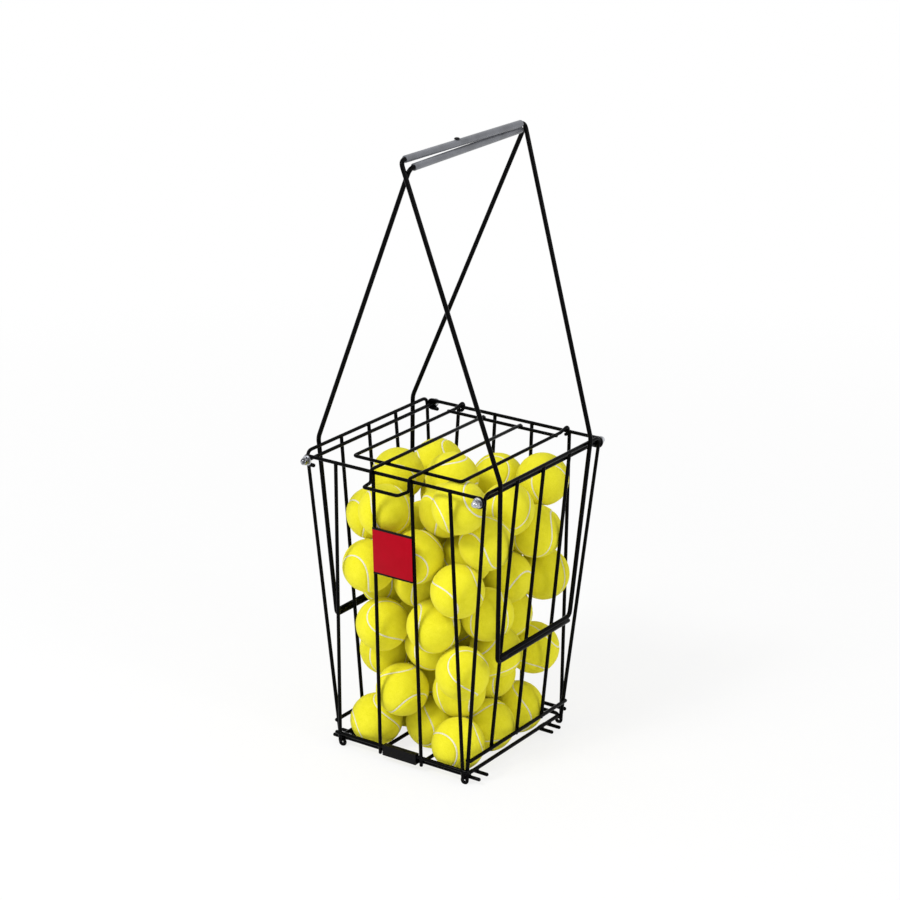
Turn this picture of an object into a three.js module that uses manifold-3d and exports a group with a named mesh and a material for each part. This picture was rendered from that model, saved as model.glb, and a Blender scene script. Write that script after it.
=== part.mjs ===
// Tennis ball hopper: a tapered wire basket with a hinged wire lid, two tall wire handles
// that cross at their grips, and the tennis balls it holds.
// Millimetres, +Z up. The origin is on the ground under the middle of the basket.
// The front, with the label and the lid's pull tab, faces -Y; right is +X.
import * as THREE from "three";
import { ConvexGeometry } from "three/addons/geometries/ConvexGeometry.js";
import { mergeVertices } from "three/addons/utils/BufferGeometryUtils.js";
import Module from "manifold-3d";

const wasm = await Module();
wasm.setup();

// Wire thicknesses and fits
const wallWire = 4; // upright wires of the four walls
const railWire = 4.4; // rails, corner wires and the base
const axleRod = 4.5; // the two bolt rods under the side rails
const handleWire = 5.5;
const lidWire = 4;
const clearance = 0.3; // between pieces that touch but aren't welded
const weldBite = 0.8; // how far two welded wires run into each other

// Basket
const rimHalfWidth = 124; // middle of the basket to an axle rod
const rimHalfDepth = 130.5; // middle to the front and back top rails
const baseHalfWidth = 95.7; // middle to a corner wire at the base
const baseHalfDepth = 111.5; // middle to the front and back bottom rails
const wallHeight = 367.7; // base rods up to the axle rods
const footDrop = 12.5; // base rods above the ground
const sideRailRise = 8.7; // side top rail above the axle rod
const sideFootRailRise = 20.5; // side bottom rail above the base rods
const endFootRailRise = 6.5; // front and back bottom rails above the base rods
const railCornerRadius = 9; // bends of the side top rail
const footLoopRadius = 3.4; // centre line of the foot loops
const footFlat = 0.7; // how much of a foot loop is worn flat
const uprightStub = 5; // upright wire left over below a bottom rail
const sideUprightPitch = 57;
const endUprightTopPitch = 55.3;
const endUprightFootInset = 3.3; // outermost upright in from the corner wire, at the base
const eyeTail = 8; // straight end of a rail after its eye

// Base
const basePitch = 62; // gap between base rods, just under a ball's width
const baseRailInset = 1.2; // side rails of the base in from the corner wires
const baseCornerRadius = 11;

// Clips that hold the handles when they are used as legs
const clipWire = 4;
const clipGap = 17; // between the two prongs
const frontClipInset = 19.5; // middle of a clip from the front wall's foot
const backClipInset = 39.5;
const clipReach = 15; // prongs beyond the base rail
const clipRoot = 6; // bridge inside the base rail
const clipBend = 3;

// Folded clips that join the base to the front and back walls
const foldSheet = 1.2;
const foldLength = 50;
const foldLip = 4;

// Acorn nuts on the axle rods
const nutAcross = 11; // across the flats
const nutHex = 4.5; // height of the hexagonal part
const nutDome = 5.2; // radius of the dome
const nutNeck = 1; // straight wall under the dome
const nutWallShare = 0.55; // how much of the nut the rod runs into

// Handles
const legTopHalfDepth = 99.3; // at the bend over the rim
const legFootHalfDepth = 80.6; // at the cross bar
const legFlare = 12.6; // how much further out the leg is at the rim than at the bar
const bendRise = 7.6; // the bend above the side rail
const barBelowBend = 236.1;
const upperLegLength = 391.6; // bend to grip
const gripHalfDepth = 123.8;
const gripLean = 12.6; // both grips rest a little to the right of the middle
const gripFrontCross = 4; // each grip's front end reaches past their middle line
const gripBackShort = 2.7; // each grip's back end stops short of it
const handleShift = 3.4; // the right handle sits forward, the left one back
const gripTube = 8.8;
const legBend = 24;
const cornerBend = 8;
const barOverlap = 5.3; // spacing of the two wire ends that make the cross bar
const gripStudShare = 0.44; // place of the stud along the right grip
const studRadius = 3.4;
const studHeight = 2.2;
const studFlangeShare = 0.35; // heights and widths on the stud's outline
const studShoulderShare = 0.85;
const studCrownShare = 0.7;

// Lid
const lidHalfWidth = 78.4;
const lidFrontY = -100;
const lidBackCrossY = 104;
const lidBend = 5;
const lidHookLead = 14; // where the frame starts to climb over the back rail
const tabDrop = 16; // pull tab below the lid wires
const tabReach = 19; // pull tab out from the front rail
const tabInset = 3;
const tabBend = 4;

// Label plate
const labelWidth = 58.5;
const labelHeight = 59;
const labelTopDrop = 66; // below the axle rods
const labelSheet = 1.2;
const labelLip = 2.2;

// Balls
const ballDiameter = 66.5;
const ballGap = 0.3;
const neckRadius = 4; // felt pressed together where two balls are joined
const neckLength = 12;
const ballNodes = 34; // most ball nodes; more balls than this are joined in pairs

// Facets
const wireSides = 8;
const handleSides = 10;
const bendStep = Math.PI / 6;
const facetTurn = Math.PI / 37;
const sliver = 0.02; // triangles thinner than this are dissolved after a weld
const ballPoints = 46;
const neckSides = 6;
const goldenAngle = Math.PI * (3 - Math.sqrt(5));
const nutSegments = 12;

// Levels and planes that follow from the sizes
const wireRadius = wallWire / 2;
const railRadius = railWire / 2;
const axleRadius = axleRod / 2;
const handleRadius = handleWire / 2;
const lidRadius = lidWire / 2;
const clipRadius = clipWire / 2;
const ballRadius = ballDiameter / 2;
const baseZ = footDrop;
const axleZ = baseZ + wallHeight;
const eyeRadius = axleRadius + clearance + railRadius;
const endRailZ = axleZ + eyeRadius;
const endUprightPlaces = [-1.5, -0.5, 0.5, 1.5]; // in pitches from the middle
const endUprightFootPitch = (baseHalfWidth - endUprightFootInset) / endUprightPlaces[3];
const baseRailHalfWidth = baseHalfWidth - baseRailInset;
const baseRodPlaces = [-0.5, 0.5]; // in base pitches
const sideRailZ = axleZ + sideRailRise;
const sideFootRailZ = baseZ + sideFootRailRise;
const endFootRailZ = baseZ + endFootRailRise;
const sideWallRimX = rimHalfWidth + axleRadius + clearance + wireRadius;
const cornerInset = 2 * railRadius + clearance;
const lerp = THREE.MathUtils.lerp;
const sideX = (z) => lerp(baseHalfWidth, sideWallRimX, (z - baseZ) / wallHeight);
const endYShare = (z) => (z - endFootRailZ) / (endRailZ - endFootRailZ);
const endY = (z) => lerp(baseHalfDepth, rimHalfDepth, endYShare(z));
const cornerY = (z) => endY(z) - cornerInset;
const sideRailX = sideX(sideRailZ);
const weldOffset = railRadius + wireRadius - weldBite;

const vec = (x, y, z) => new THREE.Vector3(x, y, z);

// Materials
const finish = (color, roughness, metalness) =>
  new THREE.MeshStandardMaterial({ color, roughness, metalness });
const blackCoat = finish(0x0b0b0c, 0.32, 0.1);
const chrome = finish(0xcfd2d6, 0.12, 1);
const greyVinyl = finish(0x84868c, 0.5, 0);
const redPrint = finish(0xc8102e, 0.45, 0);
const yellowFelt = finish(0xe8e337, 0.95, 0);
const blackNylon = finish(0x111112, 0.5, 0);

const model = new THREE.Group();
function place(name, geometry, material, parent = model) {
  const mesh = new THREE.Mesh(geometry, material);
  mesh.name = name;
  parent.add(mesh);
  return mesh;
}

// Solids: closed meshes whose shared vertices are merged, joined and cut as manifolds.
function solidOf(geometry) {
  const flat = geometry.index ? geometry.toNonIndexed() : geometry;
  const bare = new THREE.BufferGeometry();
  bare.setAttribute("position", flat.getAttribute("position"));
  const merged = mergeVertices(bare, 1e-3);
  return new wasm.Manifold(
    new wasm.Mesh({
      numProp: 3,
      vertProperties: new Float32Array(merged.attributes.position.array),
      triVerts: new Uint32Array(merged.index.array),
    }),
  );
}

function geometryOf(solid) {
  const { vertProperties, triVerts } = solid.getMesh();
  const geometry = new THREE.BufferGeometry();
  geometry.setAttribute("position", new THREE.BufferAttribute(vertProperties, 3));
  geometry.setIndex(new THREE.BufferAttribute(triVerts, 1));
  geometry.computeVertexNormals();
  return geometry;
}

// Wires joined into one piece. Each wire's facets are turned a little further than the last
// one's, so that the corners of two welds never lie on one line and leave slivers.
function weld(runs) {
  const wires = runs.map(([stations, radius], i) =>
    solidOf(wire(stations, radius, wireSides, (i + 1) * facetTurn)));
  return geometryOf(wires.reduce((whole, piece) => whole.add(piece)).simplify(sliver));
}

// A curve that an extrusion samples exactly at its stations, so that a straight run of wire
// has two rings and only its bends have more.
class StationCurve extends THREE.Curve {
  constructor(stations) {
    super();
    this.stations = stations;
    this.steps = stations.length - 1;
  }
  getPointAt(share, target = vec(0, 0, 0)) {
    return target.copy(this.stations[Math.round(share * this.steps)]);
  }
  getTangentAt(share, target = vec(0, 0, 0)) {
    const i = Math.round(share * this.steps);
    const before = this.stations[Math.max(i - 1, 0)];
    const after = this.stations[Math.min(i + 1, this.steps)];
    return target.subVectors(after, before).normalize();
  }
}

// The stations of a bent wire: its corner points with an arc of the bend radius at each.
function bentWire(corners, bend) {
  const stations = [corners[0]];
  for (let i = 1; i < corners.length - 1; i++) {
    const here = corners[i];
    const back = corners[i - 1].clone().sub(here);
    const ahead = corners[i + 1].clone().sub(here);
    const turn = Math.PI - back.angleTo(ahead);
    const room = Math.min(back.length(), ahead.length()) / 2;
    const set = Math.min(bend * Math.tan(turn / 2), room);
    const from = here.clone().add(back.setLength(set));
    const to = here.clone().add(ahead.setLength(set));
    const curve = new THREE.QuadraticBezierCurve3(from, here, to);
    stations.push(...curve.getPoints(Math.max(1, Math.ceil(turn / bendStep))));
  }
  stations.push(corners[corners.length - 1]);
  return stations;
}

// Points on an arc in the plane of two unit directions.
function arcPoints(centre, radius, right, up, from, to) {
  const steps = Math.max(1, Math.ceil(Math.abs(to - from) / bendStep));
  return Array.from({ length: steps + 1 }, (_, i) => {
    const angle = lerp(from, to, i / steps);
    const across = right.clone().multiplyScalar(radius * Math.cos(angle));
    return centre.clone().add(across).addScaledVector(up, radius * Math.sin(angle));
  });
}

function wire(stations, radius, sides = wireSides, turn = 0) {
  const section = Array.from({ length: sides }, (_, i) => {
    const angle = (2 * Math.PI * i) / sides + turn;
    return new THREE.Vector2(radius * Math.cos(angle), radius * Math.sin(angle));
  });
  const path = new StationCurve(stations);
  return new THREE.ExtrudeGeometry(new THREE.Shape(section), {
    steps: path.steps,
    extrudePath: path,
    bevelEnabled: false,
  });
}

// Side wall: one long wire that runs from a foot loop up a corner, along the top and down the
// other corner, with three uprights and a bottom rail welded to it.
function sidePanel(side) {
  const across = vec(-side, 0, 0);
  const down = vec(0, 0, -1);
  const loopZ = footLoopRadius + railRadius - footFlat;
  const footLoop = (end) => {
    const x = side * (baseHalfWidth - footLoopRadius);
    const centre = vec(x, end * cornerY(baseZ), loopZ);
    return arcPoints(centre, footLoopRadius, across, down, Math.PI, -Math.PI * 0.62);
  };
  const corner = (end) => vec(side * sideRailX, end * cornerY(sideRailZ), sideRailZ);
  const foot = (end) => vec(side * baseHalfWidth, end * cornerY(baseZ), baseZ);
  const top = bentWire([foot(-1), corner(-1), corner(1), foot(1)], railCornerRadius);
  const loop = [...footLoop(-1).reverse(), ...top, ...footLoop(1)];
  const railX = side * (sideX(sideFootRailZ) + weldOffset);
  const railY = cornerY(sideFootRailZ);
  const bottomRail = [vec(railX, -railY, sideFootRailZ), vec(railX, railY, sideFootRailZ)];
  const stubZ = sideFootRailZ - uprightStub;
  const uprights = [-1, 0, 1].map((i) => {
    const y = i * sideUprightPitch;
    return [vec(side * sideX(stubZ), y, stubZ), vec(side * sideRailX, y, sideRailZ)];
  });
  const railEnds = [-1, 1].map((end) => {
    const y = end * railY;
    const z = sideFootRailZ;
    return [vec(side * sideX(z), y, z), vec(railX, y, z)];
  });
  const panel = weld([
    [loop, railRadius],
    [bottomRail, railRadius],
    ...railEnds.map((run) => [run, wireRadius]),
    ...uprights.map((run) => [run, wireRadius]),
  ]);
  return trimmedAtGround(panel);
}

// The feet stand on small worn flats: everything below the ground is taken off.
function trimmedAtGround(geometry) {
  const reach = 4 * rimHalfDepth;
  const earth = new THREE.BoxGeometry(reach, reach, footDrop);
  earth.translate(0, 0, -footDrop / 2);
  return geometryOf(solidOf(geometry).subtract(solidOf(earth)).simplify(sliver));
}

// Front or back wall: a top rail whose ends curl round the axle rods, a bottom rail and four
// uprights.
function endPanel(end) {
  const across = vec(1, 0, 0);
  const up = vec(0, 0, 1);
  const y = end * rimHalfDepth;
  const eye = (side) => {
    const centre = vec(side * rimHalfWidth, y, axleZ);
    const turn = arcPoints(centre, eyeRadius, across.clone().multiplyScalar(side), up,
      Math.PI / 2, -Math.PI / 2);
    turn.push(vec(side * (rimHalfWidth - eyeTail), y, axleZ - eyeRadius));
    return turn;
  };
  const topRail = [...eye(-1).reverse(), ...eye(1)];
  const footY = end * baseHalfDepth;
  const footX = baseHalfWidth + railRadius;
  const bottomRail = [vec(-footX, footY, endFootRailZ), vec(footX, footY, endFootRailZ)];
  const stubZ = endFootRailZ - 2 * uprightStub;
  const stubShare = endYShare(stubZ);
  const uprights = endUprightPlaces.map((i) => {
    const topX = i * endUprightTopPitch;
    const bottomX = i * endUprightFootPitch;
    const stubX = lerp(bottomX, topX, stubShare);
    return [vec(stubX, end * endY(stubZ), stubZ), vec(topX, y, endRailZ)];
  });
  return weld([
    [topRail, railRadius],
    [bottomRail, railRadius],
    ...uprights.map((run) => [run, wireRadius]),
  ]);
}

// Base: a frame with rounded corners and two rods that leave gaps a ball is pushed through.
const baseFrameY = endY(baseZ) - wireRadius - railRadius - clearance;
function baseGrid() {
  const corner = (x, y) => vec(x * baseRailHalfWidth, y * baseFrameY, baseZ);
  const start = vec(0, -baseFrameY, baseZ);
  const half = (side) =>
    bentWire([start, corner(side, -1), corner(side, 1), vec(0, baseFrameY, baseZ)],
      baseCornerRadius);
  const rods = baseRodPlaces.map((i) => {
    const x = i * basePitch;
    return [vec(x, -baseFrameY, baseZ), vec(x, baseFrameY, baseZ)];
  });
  const seam = [vec(-railRadius, 0, 0), vec(railRadius, 0, 0)];
  const seams = [-1, 1].map((end) =>
    seam.map((point) => point.clone().add(vec(0, end * baseFrameY, baseZ))));
  return weld([half(1), half(-1), ...rods, ...seams].map((run) => [run, railRadius]));
}

// A leg clip: a bent wire under the base rail with two prongs that a handle snaps between.
function legClip(side, y) {
  const z = baseZ - railRadius - clipRadius - clearance;
  const tipX = side * (baseRailHalfWidth + clipReach);
  const rootX = side * (baseRailHalfWidth - clipRoot);
  const front = y - clipGap / 2;
  const back = y + clipGap / 2;
  const corners = [vec(tipX, front, z), vec(rootX, front, z), vec(rootX, back, z),
    vec(tipX, back, z)];
  return wire(bentWire(corners, clipBend), clipRadius);
}

// A folded sheet clip, hooked over a wall's bottom rail and under the base frame.
function foldedClip(end) {
  const outer = baseHalfDepth + railRadius + clearance;
  const top = endFootRailZ + railRadius + clearance;
  const bottom = baseZ - railRadius - clearance;
  const hook = baseHalfDepth - railRadius;
  const shelf = baseFrameY - railRadius;
  const outline = new THREE.Shape([
    new THREE.Vector2(shelf, bottom - foldSheet),
    new THREE.Vector2(outer + foldSheet, bottom - foldSheet),
    new THREE.Vector2(outer + foldSheet, top + foldSheet),
    new THREE.Vector2(hook - clearance - foldSheet, top + foldSheet),
    new THREE.Vector2(hook - clearance - foldSheet, top - foldLip),
    new THREE.Vector2(hook - clearance, top - foldLip),
    new THREE.Vector2(hook - clearance, top),
    new THREE.Vector2(outer, top),
    new THREE.Vector2(outer, bottom),
    new THREE.Vector2(shelf, bottom),
  ]);
  const sheet = new THREE.ExtrudeGeometry(outline, { depth: foldLength, bevelEnabled: false });
  sheet.translate(0, 0, -foldLength / 2);
  sheet.rotateX(Math.PI / 2);
  sheet.rotateZ(Math.PI / 2);
  if (end < 0) sheet.rotateZ(Math.PI);
  return sheet;
}

// The rods that bolt the walls together; each end runs into an acorn nut.
const nutSeatY = rimHalfDepth + railRadius + clearance;
const nutHeight = nutHex + nutNeck + nutDome;
const nutBore = nutHeight * nutWallShare;
function axle(side) {
  const reach = nutSeatY + nutBore - clearance;
  const x = side * rimHalfWidth;
  return wire([vec(x, -reach, axleZ), vec(x, reach, axleZ)], axleRadius);
}

function acornNut() {
  const dome = arcPoints(vec(0, nutHex + nutNeck, 0), nutDome, vec(1, 0, 0), vec(0, 1, 0),
    0, Math.PI / 2).map((point) => new THREE.Vector2(Math.max(point.x, 0), point.y));
  dome[dome.length - 1].x = 0;
  const bore = axleRadius + clearance;
  const corner = nutAcross / Math.sqrt(3);
  const chamfer = corner - nutAcross / 2;
  const profile = [
    new THREE.Vector2(0, nutBore),
    new THREE.Vector2(bore, nutBore),
    new THREE.Vector2(bore, 0),
    new THREE.Vector2(nutAcross / 2, 0),
    new THREE.Vector2(corner, chamfer),
    new THREE.Vector2(corner, nutHex - chamfer),
    new THREE.Vector2(nutAcross / 2, nutHex),
    new THREE.Vector2(nutDome, nutHex),
    ...dome,
  ];
  const turned = new THREE.LatheGeometry(profile, nutSegments);
  const hexagon = new THREE.CylinderGeometry(corner, corner, 2 * nutHeight, 6);
  return geometryOf(solidOf(turned).intersect(solidOf(hexagon)));
}

// Handle: one long wire bent into a loop whose two ends lie on each other as the cross bar.
const legX = sideRailX + railRadius + handleRadius + clearance;
const legSlope = legFlare / barBelowBend;
const bendZ = sideRailZ + bendRise;
const bendX = legX + legSlope * bendRise;
const barZ = bendZ - barBelowBend;
const barX = bendX - legFlare;

// The left grip's height follows from its legs; the right grip lies on the left one.
const gripRun = bendX + gripLean + (gripFrontCross - gripBackShort) / 2;
const gripSpread = gripHalfDepth - legTopHalfDepth;
const gripRise = Math.sqrt(upperLegLength ** 2 - gripRun ** 2 - gripSpread ** 2);
const gripStack = gripTube + 2 * clearance;
function gripEnds(side) {
  const y = (end) => end * gripHalfDepth - side * handleShift;
  const frontX = gripLean - side * gripFrontCross;
  const backX = gripLean + side * gripBackShort;
  const z = bendZ + gripRise + (side > 0 ? gripStack : 0);
  return [vec(frontX, y(-1), z), vec(backX, y(1), z)];
}

function handleFrame(side) {
  const shift = -side * handleShift;
  const [gripFront, gripBack] = gripEnds(side);
  const bendAt = (end) => vec(side * bendX, end * legTopHalfDepth + shift, bendZ);
  const barAt = (end, z) => vec(side * barX, end * legFootHalfDepth + shift, z);
  const upperBarZ = barZ + barOverlap;
  const lowerEnd = barAt(1, barZ).add(vec(0, -handleRadius, 0));
  const upperEnd = barAt(-1, upperBarZ).add(vec(0, handleWire, 0));
  const front = bentWire([lowerEnd, barAt(-1, barZ), bendAt(-1)], cornerBend);
  const frontBend = bentWire([barAt(-1, barZ), bendAt(-1), gripFront], legBend);
  const grip = bentWire([bendAt(-1), gripFront, gripBack, bendAt(1)], cornerBend);
  const backBend = bentWire([gripBack, bendAt(1), barAt(1, upperBarZ)], legBend);
  const back = bentWire([bendAt(1), barAt(1, upperBarZ), upperEnd], cornerBend);
  const stations = [
    ...front.slice(0, -1),
    ...frontBend.slice(1, -1),
    ...grip.slice(1, -1),
    ...backBend.slice(1, -1),
    ...back.slice(1),
  ];
  const steps = wire(stations, handleRadius, handleSides);
  return geometryOf(solidOf(steps));
}

// Turns a shape made along Y so that it lies between two points, centred on their middle.
function laidBetween(geometry, from, to) {
  const along = to.clone().sub(from).normalize();
  geometry.applyQuaternion(new THREE.Quaternion().setFromUnitVectors(vec(0, 1, 0), along));
  const middle = from.clone().add(to).divideScalar(2);
  return geometry.translate(middle.x, middle.y, middle.z);
}

function grip(side) {
  const [front, back] = gripEnds(side);
  const length = front.distanceTo(back) - 2 * (cornerBend + clearance);
  const inner = handleRadius + clearance;
  const outer = gripTube / 2;
  const profile = [
    new THREE.Vector2(inner, -length / 2),
    new THREE.Vector2(outer, -length / 2),
    new THREE.Vector2(outer, length / 2),
    new THREE.Vector2(inner, length / 2),
    new THREE.Vector2(inner, -length / 2),
  ];
  return laidBetween(new THREE.LatheGeometry(profile, handleSides), front, back);
}

// A small round stud that pins the right grip from above.
function gripStud() {
  const [front, back] = gripEnds(1);
  const at = front.clone().lerp(back, gripStudShare);
  const flange = studHeight * studFlangeShare;
  const profile = [
    new THREE.Vector2(0, 0),
    new THREE.Vector2(studRadius, 0),
    new THREE.Vector2(studRadius, flange),
    new THREE.Vector2(studRadius * studCrownShare, studHeight * studShoulderShare),
    new THREE.Vector2(0, studHeight),
  ];
  const stud = new THREE.LatheGeometry(profile, handleSides);
  stud.rotateX(Math.PI / 2);
  return stud.translate(at.x, at.y, at.z + gripTube / 2 + clearance);
}

// Lid: an outer wire whose ends hook over the back rail, two cross wires, and two inner wires
// that run over the front rail and end in the pull tab.
const lidInnerZ = endRailZ + railRadius + lidRadius + clearance;
const lidZ = lidInnerZ - 2 * lidRadius + weldBite;
const lidHookRadius = railRadius + lidRadius + clearance;
const lidInnerX = endUprightTopPitch / 2;
function lidFrame() {
  const inward = vec(0, -1, 0);
  const up = vec(0, 0, 1);
  const hook = (side) => {
    const centre = vec(side * lidHalfWidth, rimHalfDepth, endRailZ);
    return arcPoints(centre, lidHookRadius, inward, up, Math.PI * 0.42, Math.PI * 1.6);
  };
  const lead = (side) => vec(side * lidHalfWidth, rimHalfDepth - lidHookLead, lidZ);
  const corner = (side) => vec(side * lidHalfWidth, lidFrontY, lidZ);
  const frame = [
    ...hook(-1).reverse(),
    ...bentWire([lead(-1), corner(-1), corner(1), lead(1)], lidBend),
    ...hook(1),
  ];
  const backCross = [-1, 1].map((side) => vec(side * lidHalfWidth, lidBackCrossY, lidZ));
  const tabY = -rimHalfDepth - railRadius - lidRadius - clearance;
  const tabZ = lidInnerZ - tabDrop;
  const arm = (side) => [
    vec(side * lidInnerX, lidBackCrossY, lidInnerZ),
    vec(side * lidInnerX, tabY, lidInnerZ),
    vec(side * lidInnerX, tabY, tabZ),
    vec(side * (lidInnerX - tabInset), tabY - tabReach, tabZ),
  ];
  const tab = bentWire([...arm(-1), ...arm(1).reverse()], tabBend);
  return weld([frame, backCross, tab].map((run) => [run, lidRadius]));
}

// Label plate: a bare printed sheet on the two middle front uprights, with its top and bottom
// edges folded back.
function labelPlate() {
  const half = labelHeight / 2;
  const outline = new THREE.Shape([
    new THREE.Vector2(0, -half),
    new THREE.Vector2(labelLip, -half),
    new THREE.Vector2(labelLip, labelSheet - half),
    new THREE.Vector2(labelSheet, labelSheet - half),
    new THREE.Vector2(labelSheet, half - labelSheet),
    new THREE.Vector2(labelLip, half - labelSheet),
    new THREE.Vector2(labelLip, half),
    new THREE.Vector2(0, half),
  ]);
  const sheet = new THREE.ExtrudeGeometry(outline, { depth: labelWidth, bevelEnabled: false });
  sheet.translate(0, 0, -labelWidth / 2);
  sheet.rotateX(Math.PI / 2);
  sheet.rotateZ(Math.PI / 2);
  const slope = (rimHalfDepth - baseHalfDepth) / (endRailZ - endFootRailZ);
  sheet.rotateX(Math.atan(slope));
  const middleZ = axleZ - labelTopDrop - half;
  const stand = wireRadius + clearance + labelLip;
  return sheet.translate(0, -endY(middleZ) - stand, middleZ);
}

// Balls. Each lies in the lowest free place where it touches three of: balls, walls. The
// bottom row sinks between the base rods, nearly to the ground.
const contactDistance = 2 * ballRadius + ballGap;
const wallStand = ballRadius + ballGap + railRadius;
const sideRise = (sideWallRimX - baseHalfWidth) / wallHeight;
const endRise = (rimHalfDepth - baseHalfDepth) / (endRailZ - endFootRailZ);
const wallPlane = (normal, point) => {
  normal.normalize();
  return { normal, offset: normal.dot(point) + wallStand };
};
const wallPlanes = [-1, 1].flatMap((s) => [
  wallPlane(vec(-s, 0, sideRise), vec(s * baseHalfWidth, 0, baseZ)),
  wallPlane(vec(0, -s, endRise), vec(0, s * baseHalfDepth, endFootRailZ)),
]);

function packedBalls() {
  const contact = contactDistance;
  const planes = wallPlanes;
  const ceiling = lidZ - lidRadius - ballRadius - ballGap;
  const rodReach = ballRadius + railRadius + ballGap;
  const offRods = (p) =>
    baseRodPlaces.every((i) => Math.hypot(p.x - i * basePitch, p.z - baseZ) > rodReach);
  const offWalls = (p) => planes.every((w) => w.normal.dot(p) > w.offset - ballGap / 9);
  const inside = (p) => offWalls(p) && offRods(p);
  const balls = [];
  const free = (p) => balls.every((b) => b.distanceTo(p) > contact - ballGap / 9);

  const rank = (difference) => Math.round(difference / ballGap);

  // The plane that holds the circle where two equal spheres meet.
  const between = (a, b) => {
    const normal = b.clone().sub(a).normalize();
    return { normal, offset: normal.dot(a.clone().add(b).divideScalar(2)) };
  };
  // The places on a sphere of the contact radius that lie on both planes.
  function meet(centre, first, second) {
    const along = first.normal.clone().cross(second.normal);
    const tight = along.lengthSq();
    if (tight < 1e-6) return [];
    const a = second.normal.clone().cross(along).multiplyScalar(first.offset);
    const b = along.clone().cross(first.normal).multiplyScalar(second.offset);
    const base = a.add(b).divideScalar(tight);
    along.normalize();
    const near = base.addScaledVector(along, along.dot(centre.clone().sub(base)));
    const rest = contact ** 2 - near.distanceToSquared(centre);
    if (rest < 0) return [];
    return [-1, 1].map((s) => near.clone().addScaledVector(along, s * Math.sqrt(rest)));
  }

  let places = [];
  function add(ball) {
    const neighbours = balls.filter((b) => b.distanceTo(ball) < 2 * contact);
    const surfaces = [...planes, ...neighbours.map((b) => between(ball, b))];
    balls.push(ball);
    surfaces.forEach((first, i) =>
      surfaces.slice(i + 1).forEach((second) => places.push(...meet(ball, first, second))));
  }

  // Bottom row: three columns between the base rods, the middle one nested half a ball on.
  const rowZ = ballRadius;
  const columnX = sideX(rowZ) - wallStand * Math.hypot(1, sideRise);
  const rowY = endY(rowZ) - wallStand * Math.hypot(1, endRise);
  const perColumn = Math.floor((2 * rowY) / contact) + 1;
  for (const column of [-1, 0, 1]) {
    for (let i = 0; i < perColumn; i++) {
      const y = -rowY + (i + (column ? 0 : 0.5)) * contact;
      const ball = vec(column * columnX, y, rowZ);
      if (inside(ball) && free(ball)) add(ball);
    }
  }
  for (;;) {
    places = places.filter((p) => p.z > rowZ && p.z < ceiling && inside(p) && free(p));
    if (!places.length) return balls;
    places.sort((p, q) => rank(p.z - q.z) || rank(p.y - q.y) || rank(p.x - q.x));
    add(places.shift());
  }
}

// Where a ball touches its neighbours, the walls and the ground, as directions from its centre.
const ground = { normal: vec(0, 0, 1), offset: ballRadius };
function touches(ball, all) {
  const near = contactDistance + ballGap / 3;
  const balls = all.filter((other) => other !== ball && other.distanceTo(ball) < near);
  const planes = [...wallPlanes, ground].filter((plane) =>
    plane.normal.dot(ball) < plane.offset + ballGap / 3);
  return [
    ...balls.map((other) => other.clone().sub(ball).normalize()),
    ...planes.map((plane) => plane.normal.clone().negate()),
  ];
}

// A ball is the hull of points spread evenly over it, with a point at each touch, so that its
// facets don't open a gap there.
function ballGeometry(ball, all) {
  const met = touches(ball, all);
  const spacing = Math.sqrt(Math.PI / ballPoints);
  const spiral = Array.from({ length: ballPoints }, (_, i) => {
    const polar = Math.acos(1 - (2 * i + 1) / ballPoints);
    return vec(0, 0, 0).setFromSphericalCoords(1, polar, i * goldenAngle);
  }).filter((p) => met.every((touch) => touch.angleTo(p) > spacing));
  const points = [...met, ...spiral].map((p) => p.multiplyScalar(ballRadius));
  return new ConvexGeometry(points).translate(ball.x, ball.y, ball.z);
}

function ballPair(from, to, all) {
  const neck = new THREE.CylinderGeometry(neckRadius, neckRadius, neckLength, neckSides);
  return geometryOf(
    solidOf(ballGeometry(from, all))
      .add(solidOf(ballGeometry(to, all)))
      .add(solidOf(laidBetween(neck, from, to)))
      .simplify(sliver),
  );
}

function placeBalls() {
  const all = packedBalls();
  const loose = [...all];
  const pairsNeeded = Math.max(0, loose.length - ballNodes);
  const label = (n) => String(n).padStart(2, "0");
  for (let n = 1, pairs = 0; loose.length; n++) {
    const ball = loose.pop();
    const partner = loose.findIndex((other) =>
      other.distanceTo(ball) < contactDistance + ballGap / 3);
    if (pairs < pairsNeeded && partner >= 0) {
      pairs++;
      const [other] = loose.splice(partner, 1);
      place("ball_pair_" + label(n), ballPair(ball, other, all), yellowFelt);
    } else {
      place("ball_" + label(n), ballGeometry(ball, all), yellowFelt);
    }
  }
}

// Assembly
const sides = [["left", -1], ["right", 1]];
const ends = [["front", -1], ["back", 1]];
for (const [endName, end] of ends) {
  place(endName + "_panel", endPanel(end), blackCoat);
  place(endName + "_base_clip", foldedClip(end), blackCoat);
}
place("base_grid", baseGrid(), blackCoat);
for (const [sideName, side] of sides) {
  place(sideName + "_panel", sidePanel(side), blackCoat);
  place(sideName + "_axle_rod", axle(side), blackCoat);
  place(sideName + "_handle_frame", handleFrame(side), blackCoat);
  place(sideName + "_grip", grip(side), greyVinyl);
  for (const [endName, end] of ends) {
    const nut = place([sideName, endName, "nut"].join("_"), acornNut(), chrome);
    nut.position.set(side * rimHalfWidth, end * nutSeatY, axleZ);
    nut.rotation.x = end < 0 ? Math.PI : 0;
    const clipY = end * (baseHalfDepth - (end < 0 ? frontClipInset : backClipInset));
    place([sideName, endName, "leg_clip"].join("_"), legClip(side, clipY), blackCoat);
  }
}
place("grip_stud", gripStud(), blackNylon);
place("lid_frame", lidFrame(), blackCoat);
place("label_plate", labelPlate(), redPrint);
placeBalls();

export default model;
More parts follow.
